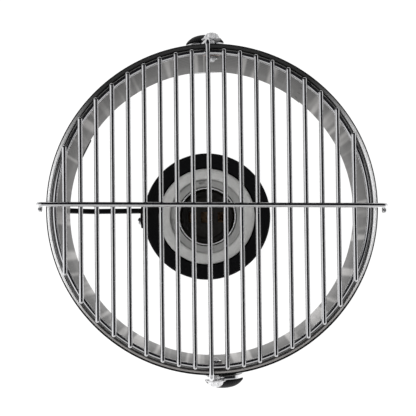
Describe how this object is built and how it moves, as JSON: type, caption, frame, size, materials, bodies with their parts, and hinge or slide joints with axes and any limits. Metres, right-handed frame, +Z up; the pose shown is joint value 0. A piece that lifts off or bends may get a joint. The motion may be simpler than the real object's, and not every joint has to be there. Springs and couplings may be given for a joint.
{
  "type": "fan-shaped desk lamp",
  "caption": "Desk lamp shaped like a small desk fan: short metal drum with a wire guard and a screw lampholder, tilting between two knobs on a hoop stand.",
  "frame": {"origin": "on the desk, under the middle of the hoop", "axes": "+Z up; X along the tilt axis between the two knobs; -Y is the side the lamp arm is on. At rest the head looks straight up."},
  "size_m": [0.174, 0.169, 0.1366],
  "materials": {
    "chrome": "bright plated steel",
    "brushed_aluminium": "fine lines round the drum, satin",
    "black_paint": "matte black",
    "black_plastic": "moulded, satin black",
    "porcelain": "glazed light grey porcelain, opaque",
    "brass": "dull brass",
    "plated_shell": "nickel-plated brass, rolled thread",
    "fibre": "pinkish grey fibre",
    "rubber": "matte black"
  },
  "bodies": {
    "stand": {"base_hoop": "chrome", "leg_back": "chrome", "leg_front": "chrome", "foot_screw_back": "chrome", "foot_screw_front": "chrome", "rubber_foot_1": "rubber", "rubber_foot_2": "rubber", "rubber_foot_3": "rubber", "rubber_foot_4": "rubber", "pivot_spacer_back": "black_plastic", "pivot_spacer_front": "black_plastic"},
    "head": {"drum_shell": "brushed_aluminium", "pivot_stud_back": "chrome", "pivot_stud_front": "chrome", "lamp_arm": "black_paint", "arm_screw_1": "chrome", "arm_screw_2": "chrome", "lamp_cup": "black_paint", "porcelain_body": "porcelain", "screw_shell": "plated_shell", "contact_base": "porcelain", "centre_contact": "brass", "side_contact_left": "brass", "side_contact_right": "brass", "threaded_nipple": "brass", "cable_inlet_nut": "black_plastic", "fibre_washer_back": "fibre", "fibre_washer_front": "fibre", "guard_nut_back": "chrome", "guard_nut_front": "chrome"},
    "guard": {"guard_ring": "chrome", "cross_wire": "chrome", "guard_wire_01": "chrome", "guard_wire_02": "chrome", "guard_wire_03": "chrome", "guard_wire_04": "chrome", "guard_wire_05": "chrome", "guard_wire_06": "chrome", "guard_wire_07": "chrome", "guard_wire_08": "chrome", "guard_wire_09": "chrome", "guard_wire_10": "chrome", "guard_wire_11": "chrome", "guard_wire_12": "chrome", "guard_wire_13": "chrome", "guard_wire_14": "chrome", "guard_wire_15": "chrome", "guard_wire_16": "chrome", "guard_wire_17": "chrome", "guard_wire_18": "chrome", "guard_wire_19": "chrome"},
    "knob_back": {"clamp_knob_back": "black_plastic"},
    "knob_front": {"clamp_knob_front": "black_plastic"},
    "screw_back": {"guard_screw_back": "chrome"},
    "screw_front": {"guard_screw_front": "chrome"}
  },
  "joints": [
    {"name": "head_tilt", "type": "hinge", "parent": "stand", "child": "head", "pos_m": [0, 0, 0.1], "axis": [1, 0, 0], "range_deg": [-135, 135]},
    {"name": "guard_lift", "type": "slide", "parent": "head", "child": "guard", "axis": [0, 0, 1], "range_m": [0, 0.05]},
    {"name": "knob_back_turn", "type": "hinge", "parent": "head", "child": "knob_back", "pos_m": [-0.078, 0, 0.1], "axis": [-1, 0, 0], "range_deg": [0, 270]},
    {"name": "knob_front_turn", "type": "hinge", "parent": "head", "child": "knob_front", "pos_m": [0.078, 0, 0.1], "axis": [1, 0, 0], "range_deg": [0, 270]},
    {"name": "screw_back_turn", "type": "hinge", "parent": "head", "child": "screw_back", "pos_m": [-0.07339, 0.00283, 0.124], "axis": [-0.999, 0.0454, 0], "range_deg": [0, 270]},
    {"name": "screw_front_turn", "type": "hinge", "parent": "head", "child": "screw_front", "pos_m": [0.07346, -0.00383, 0.124], "axis": [0.999, -0.0454, 0], "range_deg": [0, 270]}
  ]
}
